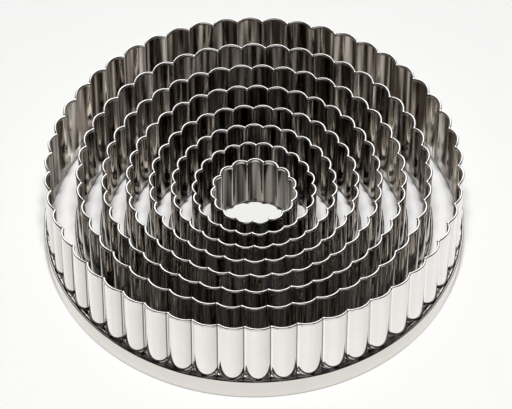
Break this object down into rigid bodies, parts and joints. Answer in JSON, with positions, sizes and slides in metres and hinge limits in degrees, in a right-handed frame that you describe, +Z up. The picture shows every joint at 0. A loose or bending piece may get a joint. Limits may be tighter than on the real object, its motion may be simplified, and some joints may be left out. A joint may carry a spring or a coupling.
{
  "type": "biscuit cutter",
  "caption": "Nested set of round biscuit cutters in thin polished steel. Each one has a fluted cutting edge on top and a plain cutting edge on a collar at the foot.",
  "frame": {"origin": "on the worktop, at the shared axis of all the nested cutters", "axes": "+Z up along the shared axis, from the plain edges to the fluted edges; -Y towards the viewer; +X to the viewer's right"},
  "size_m": [0.1016, 0.1016, 0.0243],
  "materials": {
    "fluted_steel": "mirror-polished thin steel sheet, bent into flutes",
    "plain_steel": "mirror-polished thin steel sheet, rolled plain"
  },
  "bodies": {
    "cutter_1": {"cutter_1_wall": "fluted_steel", "cutter_1_collar": "plain_steel"},
    "cutter_2": {"cutter_2_wall": "fluted_steel", "cutter_2_collar": "plain_steel"},
    "cutter_3": {"cutter_3_wall": "fluted_steel", "cutter_3_collar": "plain_steel"},
    "cutter_4": {"cutter_4_wall": "fluted_steel", "cutter_4_collar": "plain_steel"},
    "cutter_5": {"cutter_5_wall": "fluted_steel", "cutter_5_collar": "plain_steel"},
    "cutter_6": {"cutter_6_wall": "fluted_steel", "cutter_6_collar": "plain_steel"},
    "cutter_7": {"cutter_7_wall": "fluted_steel", "cutter_7_collar": "plain_steel"},
    "cutter_8": {"cutter_8_wall": "fluted_steel", "cutter_8_collar": "plain_steel"}
  },
  "joints": [
    {"name": "lift_cutter_2", "type": "slide", "parent": "cutter_1", "child": "cutter_2", "axis": [0, 0, 1], "range_m": [0, 0.027]},
    {"name": "lift_cutter_3", "type": "slide", "parent": "cutter_1", "child": "cutter_3", "axis": [0, 0, 1], "range_m": [0, 0.027]},
    {"name": "lift_cutter_4", "type": "slide", "parent": "cutter_1", "child": "cutter_4", "axis": [0, 0, 1], "range_m": [0, 0.027]},
    {"name": "lift_cutter_5", "type": "slide", "parent": "cutter_1", "child": "cutter_5", "axis": [0, 0, 1], "range_m": [0, 0.027]},
    {"name": "lift_cutter_6", "type": "slide", "parent": "cutter_1", "child": "cutter_6", "axis": [0, 0, 1], "range_m": [0, 0.027]},
    {"name": "lift_cutter_7", "type": "slide", "parent": "cutter_1", "child": "cutter_7", "axis": [0, 0, 1], "range_m": [0, 0.027]},
    {"name": "lift_cutter_8", "type": "slide", "parent": "cutter_1", "child": "cutter_8", "axis": [0, 0, 1], "range_m": [0, 0.027]}
  ]
}
